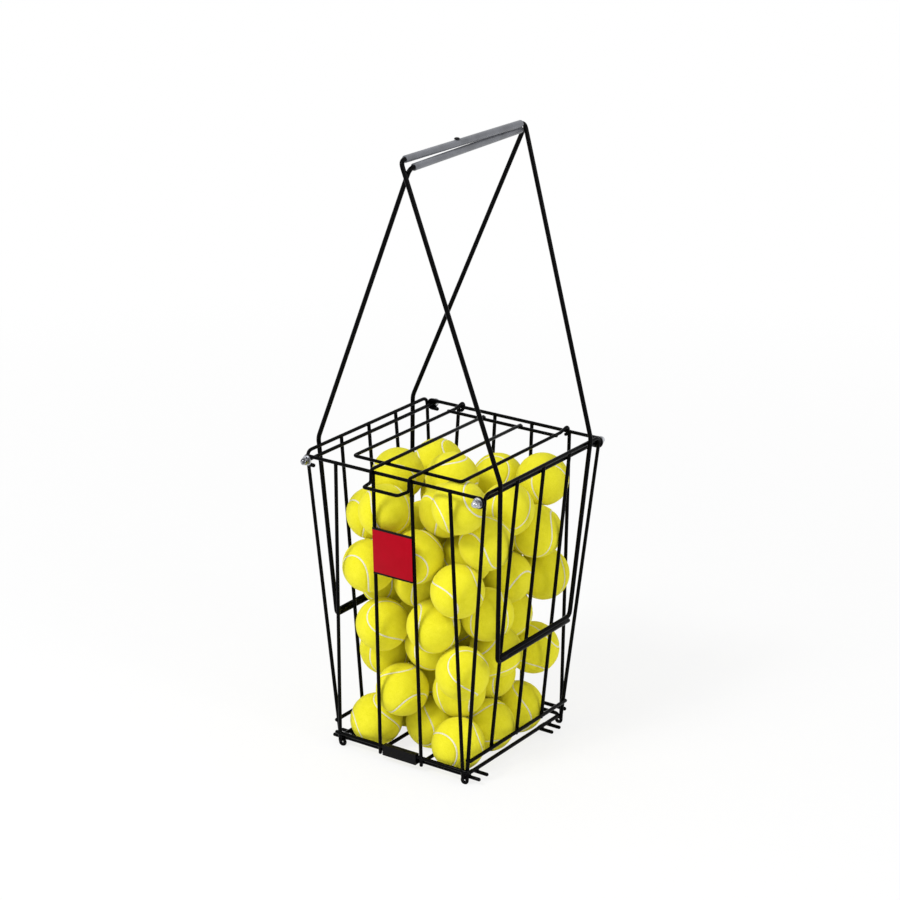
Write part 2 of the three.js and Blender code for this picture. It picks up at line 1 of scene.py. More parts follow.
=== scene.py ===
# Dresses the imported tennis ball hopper: smooth dipped wires in place of the faceted ones, felt
# balls with their seams, vinyl grips, chrome acorn nuts, a bare red label plate, and a pale
# studio round them. Lengths are millimetres until MM turns them to metres, but for the studio's.
import math
import random

import bmesh
import bpy
from mathutils import Matrix, Vector, noise


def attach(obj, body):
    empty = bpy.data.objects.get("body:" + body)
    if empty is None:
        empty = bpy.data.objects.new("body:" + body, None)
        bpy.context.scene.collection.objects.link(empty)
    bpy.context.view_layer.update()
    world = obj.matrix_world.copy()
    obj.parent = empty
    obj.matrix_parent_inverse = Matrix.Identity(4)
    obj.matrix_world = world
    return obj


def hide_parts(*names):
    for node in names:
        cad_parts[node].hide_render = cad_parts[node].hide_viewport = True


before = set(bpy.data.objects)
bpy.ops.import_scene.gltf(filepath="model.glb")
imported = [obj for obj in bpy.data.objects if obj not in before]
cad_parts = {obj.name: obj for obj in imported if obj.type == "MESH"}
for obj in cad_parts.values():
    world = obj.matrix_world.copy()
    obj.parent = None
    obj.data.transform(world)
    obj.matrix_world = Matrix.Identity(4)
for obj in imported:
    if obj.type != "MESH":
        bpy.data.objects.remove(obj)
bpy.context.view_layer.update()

MM = 0.001

# ---- Finishes


def paint(hexed):
    """An sRGB hex colour as the linear colour that a shader takes."""
    channels = [int(hexed[i : i + 2], 16) / 255 for i in (1, 3, 5)]
    return [c / 12.92 if c <= 0.04045 else ((c + 0.055) / 1.055) ** 2.4 for c in channels] + [1]


def add(tree, kind, links=None, **settings):
    """A node: settings are its properties or input values, links feed its input sockets."""
    made = tree.nodes.new(kind)
    for name, value in settings.items():
        if hasattr(made, name):
            setattr(made, name, value)
        else:
            made.inputs[name.replace("_", " ")].default_value = value
    for name, socket in (links or {}).items():
        tree.links.new(socket, made.inputs[name])
    return made


def blank(name):
    """A material with no nodes, its tree, and the Object coordinates that its patterns lie on."""
    material = bpy.data.materials.new(name)
    material.use_nodes = True
    tree = material.node_tree
    tree.nodes.clear()
    return material, tree, add(tree, "ShaderNodeTexCoord").outputs["Object"]


def tones(tree, pattern, dark, light, low=0.0, high=1.0):
    """Two hex colours spread over a pattern."""
    ramp = add(tree, "ShaderNodeValToRGB", {"Fac": pattern})
    for stop, at, hexed in zip(ramp.color_ramp.elements, (low, high), (dark, light)):
        stop.position, stop.color = at, paint(hexed)
    return ramp.outputs["Color"]


def speckle(tree, place, size, detail, **settings):
    """A noise pattern whose features are that many millimetres across."""
    return add(tree, "ShaderNodeTexNoise", {"Vector": place}, Scale=1 / (size * MM), Detail=detail,
               **settings).outputs["Fac"]


def dipped_vinyl():
    """Steel wire dipped in black PVC: jet black with little gloss, a faint orange peel and duller
    patches where hands and balls have rubbed it."""
    material, tree, place = blank("dipped_black_vinyl")
    peel = speckle(tree, place, 2.2, 3)
    rubs = speckle(tree, place, 28, 5)
    dull = add(tree, "ShaderNodeMapRange", {"Value": rubs},
               From_Min=0.35, From_Max=0.75, To_Min=0.12, To_Max=0.28)
    bump = add(tree, "ShaderNodeBump", {"Height": peel}, Strength=0.25, Distance=0.15 * MM)
    skin = add(tree, "ShaderNodeBsdfPrincipled", {
        "Base Color": tones(tree, rubs, "#010101", "#070708"), "Roughness": dull.outputs["Result"],
        "Normal": bump.outputs["Normal"]}, IOR=1.53, Specular_IOR_Level=0.035)
    add(tree, "ShaderNodeOutputMaterial", {"Surface": skin.outputs["BSDF"]})
    return material


def dipped_strip():
    """Folded strip steel under the same black dip: flatter and duller than the wires."""
    material, tree, place = blank("dipped_strip_steel")
    grain = speckle(tree, place, 3, 4)
    dull = add(tree, "ShaderNodeMapRange", {"Value": grain}, To_Min=0.28, To_Max=0.5)
    bump = add(tree, "ShaderNodeBump", {"Height": grain}, Strength=0.3, Distance=0.2 * MM)
    skin = add(tree, "ShaderNodeBsdfPrincipled", {
        "Base Color": tones(tree, grain, "#060607", "#101012"), "Roughness": dull.outputs["Result"],
        "Normal": bump.outputs["Normal"]}, Specular_IOR_Level=0.08)
    add(tree, "ShaderNodeOutputMaterial", {"Surface": skin.outputs["BSDF"]})
    return material


def chrome():
    """Chromed steel acorn nuts: mirrors whose colour carries broad dark and light patches, painted
    reflections that give them contrast.
    """
    material, tree, place = blank("chromed_steel")
    # This noise sets the roughness, and its dark and light colour patches are painted reflections.
    haze_and_painted_reflection = speckle(tree, place, 6, 2)
    dull = add(tree, "ShaderNodeMapRange", {"Value": haze_and_painted_reflection}, To_Min=0.05, To_Max=0.16)
    metal = add(tree, "ShaderNodeBsdfPrincipled", {
        "Base Color": tones(tree, haze_and_painted_reflection, "#4e4f53", "#c2c4c9", 0.4, 0.6),
        "Roughness": dull.outputs["Result"]}, Metallic=1)
    add(tree, "ShaderNodeOutputMaterial", {"Surface": metal.outputs["BSDF"]})
    return material


def grip_vinyl():
    """Extruded grey PVC tube: satin, with lengthwise draw lines and slightly cloudy colour."""
    material, tree, place = blank("extruded_grey_vinyl")
    # Real draw lines are about 0.1 mm apart. These are 0.9 mm apart, so that they show.
    drawn_out = add(tree, "ShaderNodeMapping", {"Vector": place}, Scale=(1, 0.02, 1))
    lines = speckle(tree, drawn_out.outputs["Vector"], 0.9, 2)
    cloud = speckle(tree, place, 22, 4)
    dull = add(tree, "ShaderNodeMapRange", {"Value": cloud}, To_Min=0.25, To_Max=0.42)
    bump = add(tree, "ShaderNodeBump", {"Height": lines}, Strength=0.22, Distance=0.12 * MM)
    tube = add(tree, "ShaderNodeBsdfPrincipled", {
        "Base Color": tones(tree, cloud, "#626469", "#777980", 0.3, 0.7),
        "Roughness": dull.outputs["Result"], "Normal": bump.outputs["Normal"]},
        Specular_IOR_Level=0.45)
    add(tree, "ShaderNodeOutputMaterial", {"Surface": tube.outputs["BSDF"]})
    return material


def red_print():
    """Red screen print on sheet steel: deep and even, with a light rub that dulls it in patches."""
    material, tree, place = blank("red_screen_print")
    rub = speckle(tree, place, 16, 6, Roughness=0.65)
    dull = add(tree, "ShaderNodeMapRange", {"Value": rub}, To_Min=0.32, To_Max=0.52)
    ink = add(tree, "ShaderNodeBsdfPrincipled", {
        "Base Color": tones(tree, rub, "#9c0014", "#ae001c"), "Roughness": dull.outputs["Result"]},
        Specular_IOR_Level=0.06)
    add(tree, "ShaderNodeOutputMaterial", {"Surface": ink.outputs["BSDF"]})
    return material


def felt():
    """Needled wool and nylon felt: lemon yellow and matt, with a nap of short fibres that is paler
    at its tips and darker in the swirls where it lies down."""
    material, tree, place = blank("yellow_needled_felt")
    # Fibres are about 0.02 mm thick, and are drawn as tufts 0.9 mm across so that they show.
    tufts = speckle(tree, place, 0.9, 5, Roughness=0.7)
    swirl = speckle(tree, place, 7, 3)
    nap = add(tree, "ShaderNodeMix", {"A": tufts, "B": swirl}, Factor=0.22).outputs["Result"]
    bump = add(tree, "ShaderNodeBump", {"Height": nap}, Strength=0.6, Distance=0.6 * MM)
    cloth = add(tree, "ShaderNodeBsdfPrincipled", {
        "Base Color": tones(tree, nap, "#e2db17", "#f6ee3c", 0.34, 0.68),
        "Normal": bump.outputs["Normal"]},
        Roughness=0.95, Specular_IOR_Level=0.15, Sheen_Weight=0.18, Sheen_Roughness=0.5,
        Sheen_Tint=paint("#fbf7a0"))
    add(tree, "ShaderNodeOutputMaterial", {"Surface": cloth.outputs["BSDF"]})
    return material


def seam_rubber():
    """The pale vulcanised seam between a ball's felt panels: matt, slightly lumpy and soiled."""
    material, tree, place = blank("pale_seam_rubber")
    lumps = speckle(tree, place, 2, 3)
    bump = add(tree, "ShaderNodeBump", {"Height": lumps}, Strength=0.5, Distance=0.3 * MM)
    rubber = add(tree, "ShaderNodeBsdfPrincipled", {
        "Base Color": tones(tree, lumps, "#dfdcc4", "#f0eee2", 0.3, 0.7),
        "Normal": bump.outputs["Normal"]}, Roughness=0.75, Specular_IOR_Level=0.2)
    add(tree, "ShaderNodeOutputMaterial", {"Surface": rubber.outputs["BSDF"]})
    return material


def moulded_nylon():
    """A moulded black nylon stud: satin, with the fine spark texture of its mould."""
    material, tree, place = blank("moulded_black_nylon")
    spark = speckle(tree, place, 0.5, 2)
    bump = add(tree, "ShaderNodeBump", {"Height": spark}, Strength=0.2, Distance=0.1 * MM)
    nylon = add(tree, "ShaderNodeBsdfPrincipled", {
        "Base Color": tones(tree, spark, "#050506", "#0d0d0f"), "Normal": bump.outputs["Normal"]},
        Roughness=0.4, Specular_IOR_Level=0.12)
    add(tree, "ShaderNodeOutputMaterial", {"Surface": nylon.outputs["BSDF"]})
    return material


DIP = dipped_vinyl()
STRIP = dipped_strip()
CHROME = chrome()
GRIP = grip_vinyl()
RED = red_print()
FELT = felt()
SEAM = seam_rubber()
NYLON = moulded_nylon()

# ---- Sizes, the same as the solids' unless a comment says otherwise

WALL, RAIL, AXLE, HANDLE, LID = 2, 2.2, 2.25, 2.75, 2  # radii of the wires
CLEAR = 0.3  # between pieces that touch but aren't welded
FOOT = 12.5  # height of the base frame
RIM_X, RIM_Y = 124, 130.5
BASE_X, BASE_Y = 95.7, 111.5
HEIGHT = 367.7  # from the base frame to the axle rods
AXLE_Z = FOOT + HEIGHT
EYE = AXLE + CLEAR + RAIL  # radius of a rail's end round its axle rod
END_Z = AXLE_Z + EYE
SIDE_Z = AXLE_Z + 8.7
SIDE_FOOT_Z = FOOT + 20.5
END_FOOT_Z = FOOT + 6.5
WALL_RIM_X = RIM_X + AXLE + CLEAR + WALL
SIDE_LEAN = 0.09  # how far a side wall leans out, for each unit up
SIDE_BEND = 9
SIDE_UPRIGHTS = (-57, 0, 57)
SIDE_STUB = 5  # uprights reach this far below their bottom rail
END_UPRIGHTS = (-1.5, -0.5, 0.5, 1.5)  # in spacings from the middle
END_TOP_SPACING, END_FOOT_SPACING = 55.3, 61.6
END_STUB = 10
FOOT_LOOP = 3.4
FOOT_WEAR = 0.7  # how much of each foot loop is worn off
LAP = 3.4  # from a side wall's uprights out to its bottom rail

# The dip is a little thicker than the solids' wires. It stays as thin as they are on the rims, the
# axle rods and the foot loops, and it is thin on the handles and the lid, which pass other wires.
DIP_WALL, DIP_RAIL, DIP_HANDLE, DIP_LID = 2.3, 2.45, 2.85, 2.12
RIM_THIN = 30  # the side walls' dip thins this far below the rim
EYE_SLACK = 0.45  # each rail's end is rolled this much looser than in the solids


def side_x(z):
    return BASE_X + (WALL_RIM_X - BASE_X) * (z - FOOT) / HEIGHT


def end_y(z):
    return BASE_Y + (RIM_Y - BASE_Y) * (z - END_FOOT_Z) / (END_Z - END_FOOT_Z)


def corner_y(z):
    return end_y(z) - 2 * RAIL - CLEAR


# ---- Bent wires


def bent(corners, bend, steps=7):
    """The points of a wire bent at its corners."""
    corners = [Vector(c) for c in corners]
    points = [corners[0]]
    for before, here, after in zip(corners, corners[1:], corners[2:]):
        back, ahead = before - here, after - here
        turn = math.pi - back.angle(ahead)
        set_back = min(bend * math.tan(turn / 2), back.length / 2, ahead.length / 2)
        start, end = here + back.normalized() * set_back, here + ahead.normalized() * set_back
        for i in range(steps + 1):
            t = i / steps
            points.append(start * (1 - t) ** 2 + here * 2 * t * (1 - t) + end * t * t)
    return points + [corners[-1]]


def curl(centre, radius, right, up, first, last, steps=16):
    """Points on an arc in the plane of two directions, angles in turns."""
    angles = [2 * math.pi * (first + (last - first) * i / steps) for i in range(steps + 1)]
    right, up = Vector(right), Vector(up)
    return [Vector(centre) + radius * (math.cos(a) * right + math.sin(a) * up) for a in angles]


TIP_ANGLES = (0.5, 1.0, 1.35, 1.52)
TIP_SHARE = 0.8  # how long a rounded tip is, in radii


def capped(run):
    """The run with its dipped ends drawn out to round tips."""
    for end, inner in ((0, 1), (-1, -2)):
        tip, radius = run[end]
        out = (tip - run[inner][0]).normalized()
        cap = [(tip + out * radius * math.sin(a) * TIP_SHARE, radius * math.cos(a))
               for a in TIP_ANGLES]
        run = cap[::-1] + run if end == 0 else run + cap
    return run


def drawn(points, radius, domed=True):
    """A run of wire as points with radii."""
    run = [(p, radius) for p in points]
    return capped(run) if domed else run


SUNK = 0.94  # a bead's ends, in radii of its wire, inside which they end


def bead(point, along, radius, length, swell):
    """A weld swollen by the dip: a short spindle on the wire."""
    along = Vector(along).normalized()
    run = []
    for i in range(-4, 5):
        t = i / 4
        girth = SUNK + (swell - SUNK) * math.cos(t * math.pi / 2) ** 2
        run.append((Vector(point) + along * length * t, radius * girth))
    return run


def wires(name, runs, material=DIP, sides=7):
    """One mesh object of all the runs, each a list of (point, radius)."""
    curve = bpy.data.curves.new(name, "CURVE")
    curve.dimensions = "3D"
    curve.bevel_depth = MM
    curve.bevel_resolution = sides
    curve.use_fill_caps = True
    for run in runs:
        spline = curve.splines.new("POLY")
        spline.points.add(len(run) - 1)
        for spot, (place, radius) in zip(spline.points, run):
            spot.co = (*(place * MM), 1)
            spot.radius = radius
    drawing = bpy.data.objects.new(name + "_drawing", curve)
    bpy.context.collection.objects.link(drawing)
    bpy.context.view_layer.update()
    evaluated = drawing.evaluated_get(bpy.context.evaluated_depsgraph_get())
    mesh = bpy.data.meshes.new_from_object(evaluated)
    bpy.data.objects.remove(drawing)
    mesh.materials.clear()
    mesh.materials.append(material)
    mesh.shade_smooth()
    return shown(name, mesh)


def shown(name, mesh):
    piece = bpy.data.objects.new(name, mesh)
    bpy.context.collection.objects.link(piece)
    return piece


def dress(piece, body, slot, *nodes):
    """The piece rides on a body, in place of these solids."""
    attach(piece, body)
    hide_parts(*nodes)


def from_bmesh(name, bm, *materials, smooth=True):
    mesh = bpy.data.meshes.new(name)
    bm.to_mesh(mesh)
    bm.free()
    for material in materials:
        mesh.materials.append(material)
    if smooth:
        mesh.shade_smooth()
    return shown(name, mesh)


# ---- Walls


def side_wall(name, side):
    loop_z = FOOT_LOOP + RAIL - FOOT_WEAR
    rail_x = side * side_x(SIDE_Z)
    leaning = (side * SIDE_LEAN, 0, 1)

    def foot_loop(end):
        centre = (side * (BASE_X - FOOT_LOOP), end * corner_y(FOOT), loop_z)
        return curl(centre, FOOT_LOOP, (-side, 0, 0), (0, 0, -1), 0.5, -0.31)

    foot = [(side * BASE_X, end * corner_y(FOOT), FOOT) for end in (-1, 1)]
    rim = [(rail_x, end * corner_y(SIDE_Z), SIDE_Z) for end in (-1, 1)]
    over = foot_loop(-1)[::-1] + bent([foot[0], rim[0], rim[1], foot[1]], SIDE_BEND) + foot_loop(1)
    lap_x = side * (side_x(SIDE_FOOT_Z) + LAP)
    rail_y = corner_y(SIDE_FOOT_Z)
    thick_from, thick_to = FOOT - 1, SIDE_Z - RIM_THIN
    runs = [[(p, DIP_RAIL if thick_from < p.z < thick_to else r) for p, r in drawn(over, RAIL)]]
    bottom = [Vector((lap_x, end * rail_y, SIDE_FOOT_Z)) for end in (-1, 1)]
    runs.append(drawn(bottom, DIP_RAIL))
    for lapped in bottom:
        weld = Vector((side * side_x(SIDE_FOOT_Z), lapped.y, SIDE_FOOT_Z))
        runs.append(drawn([weld, lapped], DIP_WALL, domed=False))
        runs.append(bead(weld, leaning, DIP_RAIL, 3.2, 1.24))
    stub_z, under_rim = SIDE_FOOT_Z - SIDE_STUB, SIDE_Z - 3
    for y in SIDE_UPRIGHTS:
        low, high = Vector((side * side_x(stub_z), y, stub_z)), Vector((rail_x, y, SIDE_Z))
        half_lap = (side * (side_x(SIDE_FOOT_Z) + LAP / 2), y, SIDE_FOOT_Z)
        runs.append(drawn([low, high], DIP_WALL))
        runs.append(bead((rail_x, y, SIDE_Z), (0, 1, 0), RAIL, 4, 1.04))
        runs.append(bead((side * side_x(under_rim), y, under_rim), leaning, WALL, 3.4, 1.15))
        runs.append(bead(half_lap, (0, 1, 0), DIP_WALL, 3.2, 1.1))
    wall = wires(name, runs)
    # The foot loops are worn flat where they stand.
    for spot in wall.data.vertices:
        spot.co.z = max(spot.co.z, 0)
    return wall


def end_wall(name, end):
    y = end * RIM_Y

    def eye(side):
        """The rail's end, rolled loosely under the axle rod; its dip is thick."""
        centre = (side * RIM_X, y, AXLE_Z - EYE_SLACK)
        turn = curl(centre, EYE + EYE_SLACK, (side, 0, 0), (0, 0, 1), 0.25, -0.25)
        tail = Vector((side * (RIM_X - 8), y, AXLE_Z - EYE - 2 * EYE_SLACK))
        return [(p, DIP_RAIL) for p in turn + [tail]]

    rail = [(Vector((side * (RIM_X - 10), y, END_Z)), RAIL) for side in (-1, 1)]
    runs = [capped(eye(-1)[::-1] + rail + eye(1))]
    foot_x, foot_y = BASE_X + RAIL, end * BASE_Y
    runs.append(drawn([Vector((x, foot_y, END_FOOT_Z)) for x in (-foot_x, foot_x)], DIP_RAIL))
    for i in END_UPRIGHTS:
        top = Vector((i * END_TOP_SPACING, y, END_Z))
        foot = Vector((i * END_FOOT_SPACING, foot_y, END_FOOT_Z))
        low = foot + (foot - top).normalized() * END_STUB
        runs.append(drawn([low, top], DIP_WALL))
        runs.append(bead(top, (1, 0, 0), RAIL, 4, 1.05))
        runs.append(bead(top.lerp(foot, 0.009), foot - top, WALL, 3.4, 1.2))
        runs.append(bead(foot, (1, 0, 0), DIP_RAIL, 4, 1.12))
    return wires(name, runs)


for word, side in (("left", -1), ("right", 1)):
    dress(side_wall(word + "_wall_wires", side), "basket", "wire_coat", word + "_panel")
for word, end in (("front", -1), ("back", 1)):
    dress(end_wall(word + "_wall_wires", end), "basket", "wire_coat", word + "_panel")


# ---- Base

BASE_FRAME_X = BASE_X - 1.2
BASE_FRAME_Y = end_y(FOOT) - WALL - RAIL - CLEAR
BASE_BEND = 11
BASE_RODS = (-31, 31)
CLIP, CLIP_HALF_GAP = 2, 8.5
CLIP_REACH, CLIP_ROOT = 15, 6  # prongs outside the base frame, and their bridge inside it
CLIP_BEND = 3


def base_grid():
    corners = [(sx * BASE_FRAME_X, sy * BASE_FRAME_Y, FOOT)
               for sx, sy in ((1, -1), (1, 1), (-1, 1), (-1, -1))]
    start = (0, -BASE_FRAME_Y, FOOT)
    runs = [drawn(bent([start, *corners, start], BASE_BEND), DIP_RAIL, domed=False)]
    for x in BASE_RODS:
        ends = [Vector((x, sy * BASE_FRAME_Y, FOOT)) for sy in (-1, 1)]
        runs.append(drawn(ends, DIP_RAIL, domed=False))
        runs += [bead(spot, (1, 0, 0), DIP_RAIL, 4, 1.14) for spot in ends]
    return wires("base_grid_wires", runs)


dress(base_grid(), "basket", "wire_coat", "base_grid")


def leg_clip(name, side, y):
    """A bent wire welded under the base frame, with two prongs that a handle snaps between."""
    z = FOOT - RAIL - CLIP - CLEAR
    tip, root = side * (BASE_FRAME_X + CLIP_REACH), side * (BASE_FRAME_X - CLIP_ROOT)
    front, back = y - CLIP_HALF_GAP, y + CLIP_HALF_GAP
    prongs = bent([(tip, front, z), (root, front, z), (root, back, z), (tip, back, z)], CLIP_BEND)
    runs = [drawn(prongs, DIP_WALL)]
    for prong in (front, back):
        runs.append(bead((side * BASE_FRAME_X, prong, z + 1.2), (0, 1, 0), 1.9, 2.6, 1.15))
    return wires(name, runs)


for word, side in (("left", -1), ("right", 1)):
    for place, y in (("front", -92), ("back", 72)):
        name = f"{word}_{place}_leg_clip"
        dress(leg_clip(name + "_wire", side, y), "basket", "wire_coat", name)


FOLD_LENGTH, FOLD_SHEET, FOLD_LIP = 50, 1.2, 4


def folded_clip(name, end):
    """A strip folded over the wall's bottom rail and under the base frame, its edges rounded."""
    outer, top = BASE_Y + RAIL + CLEAR, END_FOOT_Z + RAIL + CLEAR
    bottom, hook, shelf = FOOT - RAIL - CLEAR, BASE_Y - RAIL - CLEAR, BASE_FRAME_Y - RAIL
    path = [(shelf, bottom), (outer, bottom), (outer, top), (hook, top), (hook, top - FOLD_LIP)]
    # The sheet thickens away from the rail. Its folds are right angles, so they move both ways.
    away = [(0, -1), (1, -1), (1, 1), (-1, 1), (-1, 0)]
    bm = bmesh.new()
    rows = []
    for (y, z), (along_y, along_z) in zip(path, away):
        skins = [(y, z), (y + along_y * FOLD_SHEET, z + along_z * FOLD_SHEET)]
        rows.append([bm.verts.new((x * MM, end * skin_y * MM, skin_z * MM))
                     for x in (-FOLD_LENGTH / 2, FOLD_LENGTH / 2) for skin_y, skin_z in skins])
    for row, following in zip(rows, rows[1:]):
        for i, j in ((0, 1), (1, 3), (3, 2), (2, 0)):
            bm.faces.new((row[i], row[j], following[j], following[i]))
    for row in (rows[0], rows[-1]):
        bm.faces.new([row[i] for i in (0, 1, 3, 2)])
    bmesh.ops.recalc_face_normals(bm, faces=bm.faces)
    piece = from_bmesh(name, bm, STRIP, smooth=False)
    edge = piece.modifiers.new("rolled edges", "BEVEL")
    edge.width, edge.segments, edge.limit_method = 0.35 * MM, 3, "ANGLE"
    return piece


for word, end in (("front", -1), ("back", 1)):
    dress(folded_clip(word + "_folded_clip", end), "basket", "wire_coat", word + "_base_clip")


# ---- Axle rods and acorn nuts

NUT_SEAT = RIM_Y + RAIL + CLEAR
ROD_IN_NUT = 4
NUT_FLANGE, NUT_HEXAGON, NUT_DEPTH = 1, 5.7, 3.2
NUT_DOME, NUT_TOP = 4.35, 10.7


def axle_rod(name, side):
    reach = NUT_SEAT + ROD_IN_NUT
    ends = [Vector((side * RIM_X, -reach, AXLE_Z)), Vector((side * RIM_X, reach, AXLE_Z))]
    return wires(name, [drawn(ends, AXLE, domed=False)])


def acorn_nut(name, side, end):
    """A flanged acorn nut: a thin round flange, a hexagon with eased corners, and a turned dome."""
    flange = [(0, 0), (6.2, 0), (6.5, 0.3), (6.4, 0.8), (5.8, 1.1), (4.9, 1.3)]
    dome = [(4.6, 3.6), (4.4, 4.2), (NUT_DOME, 5.5)]
    for i in range(12):
        a = i * math.pi / 24
        dome.append((NUT_DOME * math.cos(a), NUT_TOP - NUT_DOME + NUT_DOME * math.sin(a)))
    dome.append((0, NUT_TOP))
    bm = bmesh.new()
    hexagon = bmesh.ops.create_cone(bm, cap_ends=True, segments=6, radius1=NUT_HEXAGON * MM,
                                    radius2=NUT_HEXAGON * MM, depth=NUT_DEPTH * MM)
    bmesh.ops.translate(bm, verts=hexagon["verts"], vec=(0, 0, (NUT_FLANGE + NUT_DEPTH / 2) * MM))
    bmesh.ops.bevel(bm, geom=bm.edges[:], offset=0.5 * MM, offset_type="OFFSET", segments=3,
                    profile=0.5, affect="EDGES", material=-1)
    for outline in (flange, dome):
        spots = [bm.verts.new((r * MM, 0, h * MM)) for r, h in outline]
        lines = [bm.edges.new(pair) for pair in zip(spots, spots[1:])]
        bmesh.ops.spin(bm, geom=spots + lines, cent=(0, 0, 0), axis=(0, 0, 1), dvec=(0, 0, 0),
                       angle=2 * math.pi, steps=40, use_merge=True)
    bmesh.ops.remove_doubles(bm, verts=bm.verts, dist=0.01 * MM)
    bmesh.ops.holes_fill(bm, edges=[e for e in bm.edges if e.is_boundary], sides=0)
    bmesh.ops.recalc_face_normals(bm, faces=bm.faces)
    outward = Matrix.Rotation(-end * math.pi / 2, 4, "X")
    outward.translation = Vector((side * RIM_X, end * NUT_SEAT, AXLE_Z)) * MM
    bmesh.ops.transform(bm, matrix=outward, verts=bm.verts)
    piece = from_bmesh(name, bm, CHROME)
    piece.data.set_sharp_from_angle(angle=math.radians(32))
    return piece


for word, side in (("left", -1), ("right", 1)):
    dress(axle_rod(word + "_axle", side), "basket", "wire_coat", word + "_axle_rod")
    for place, end in (("front", -1), ("back", 1)):
        name = f"{word}_{place}_nut"
        dress(acorn_nut(name + "_chrome", side, end), "basket", "nut_chrome", name)


# ---- Handles

LEG_FLARE, BEND_RISE, BAR_DROP = 12.6, 7.6, 236.1
LEG_TOP_Y, LEG_FOOT_Y, SHIFT = 99.3, 80.6, 3.4
UPPER_LEG, GRIP_Y, GRIP_LEAN = 391.6, 123.8, 12.6
GRIP_CROSS, GRIP_SHORT = 4, 2.7  # front ends cross the middle line, back ends stop short of it
GRIP_STACK = 9.4
BAR_OVERLAP = 5.3  # between the two wire ends that make the cross bar
BAR_WELD_INSET = 14  # from the cross bar's ends to its welds
CORNER_BEND, LEG_BEND = 8, 24
TUBE, TUBE_INSET = 4.4, 8.3  # a grip's radius, and how far its ends stay off the bends
STUD_SHARE = 0.44  # place of the stud along the upper grip
LEG_X = side_x(SIDE_Z) + RAIL + HANDLE + CLEAR
BEND_Z = SIDE_Z + BEND_RISE
BEND_X = LEG_X + LEG_FLARE / BAR_DROP * BEND_RISE
BAR_X, BAR_Z = BEND_X - LEG_FLARE, BEND_Z - BAR_DROP
GRIP_RUN = BEND_X + GRIP_LEAN + (GRIP_CROSS - GRIP_SHORT) / 2
GRIP_RISE = math.sqrt(UPPER_LEG**2 - GRIP_RUN**2 - (GRIP_Y - LEG_TOP_Y) ** 2)


def grip_ends(side):
    z = BEND_Z + GRIP_RISE + (GRIP_STACK if side > 0 else 0)
    front = Vector((GRIP_LEAN - side * GRIP_CROSS, -GRIP_Y - side * SHIFT, z))
    back = Vector((GRIP_LEAN + side * GRIP_SHORT, GRIP_Y - side * SHIFT, z))
    return front, back


def handle_wire(name, side):
    """One bent wire whose two ends lie on each other as the cross bar."""
    shift = -side * SHIFT
    front_grip, back_grip = grip_ends(side)

    def bend(end):
        return Vector((side * BEND_X, end * LEG_TOP_Y + shift, BEND_Z))

    def bar(end, z):
        return Vector((side * BAR_X, end * LEG_FOOT_Y + shift, z))

    upper = BAR_Z + BAR_OVERLAP
    lower_end = bar(1, BAR_Z) + Vector((0, -HANDLE, 0))
    upper_end = bar(-1, upper) + Vector((0, 2 * HANDLE, 0))
    legs = [
        bent([lower_end, bar(-1, BAR_Z), bend(-1)], CORNER_BEND)[:-1],
        bent([bar(-1, BAR_Z), bend(-1), front_grip], LEG_BEND)[1:-1],
        bent([bend(-1), front_grip, back_grip, bend(1)], CORNER_BEND)[1:-1],
        bent([back_grip, bend(1), bar(1, upper)], LEG_BEND)[1:-1],
        bent([bend(1), bar(1, upper), upper_end], CORNER_BEND)[1:],
    ]
    runs = [drawn([spot for leg in legs for spot in leg], DIP_HANDLE)]
    for end in (-1, 1):
        weld = Vector((side * BAR_X, end * (LEG_FOOT_Y - BAR_WELD_INSET) + shift,
                       BAR_Z + BAR_OVERLAP / 2))
        runs.append(bead(weld, (0, 1, 0), 2.2, 6, 1.2))
    return wires(name, runs, sides=9)


def grip_tube(name, side):
    """A vinyl tube pushed over the handle's top bar, its cut ends slightly rolled."""
    front, back = grip_ends(side)
    along = (back - front).normalized()
    front, back = front + along * TUBE_INSET, back - along * TUBE_INSET
    profile = [(0, 3.1), (0, 4.1), (0.25, 4.35), (0.8, TUBE), (2.5, 4.36), (4, TUBE)]
    run = [(front + along * d, r) for d, r in profile]
    run += [(back - along * d, r) for d, r in profile[::-1]]
    return wires(name, [run], GRIP, sides=15)


def grip_stud(name):
    """A small domed push-in stud on the upper grip."""
    front, back = grip_ends(1)
    spot = front.lerp(back, STUD_SHARE)
    base = spot.z + TUBE + CLEAR
    bm = bmesh.new()
    outline = [(0, 0), (3.3, 0), (3.4, 0.3), (3.4, 0.7), (3.0, 1.5), (2.1, 2.0), (1.0, 2.17),
               (0, 2.2)]
    points = [bm.verts.new(((spot.x + r) * MM, spot.y * MM, (base + h) * MM)) for r, h in outline]
    lines = [bm.edges.new(pair) for pair in zip(points, points[1:])]
    bmesh.ops.spin(bm, geom=points + lines, cent=(spot.x * MM, spot.y * MM, 0), axis=(0, 0, 1),
                   dvec=(0, 0, 0), angle=2 * math.pi, steps=32, use_merge=True)
    bmesh.ops.remove_doubles(bm, verts=bm.verts, dist=0.01 * MM)
    bmesh.ops.recalc_face_normals(bm, faces=bm.faces)
    return from_bmesh(name, bm, NYLON)


for word, side in (("left", -1), ("right", 1)):
    body = word + "_handle"
    dress(handle_wire(word + "_handle_wire", side), body, "wire_coat", word + "_handle_frame")
    dress(grip_tube(word + "_grip_tube", side), body, "grip_vinyl", word + "_grip")
dress(grip_stud("upper_grip_stud"), "right_handle", "stud_nylon", "grip_stud")


# ---- Lid

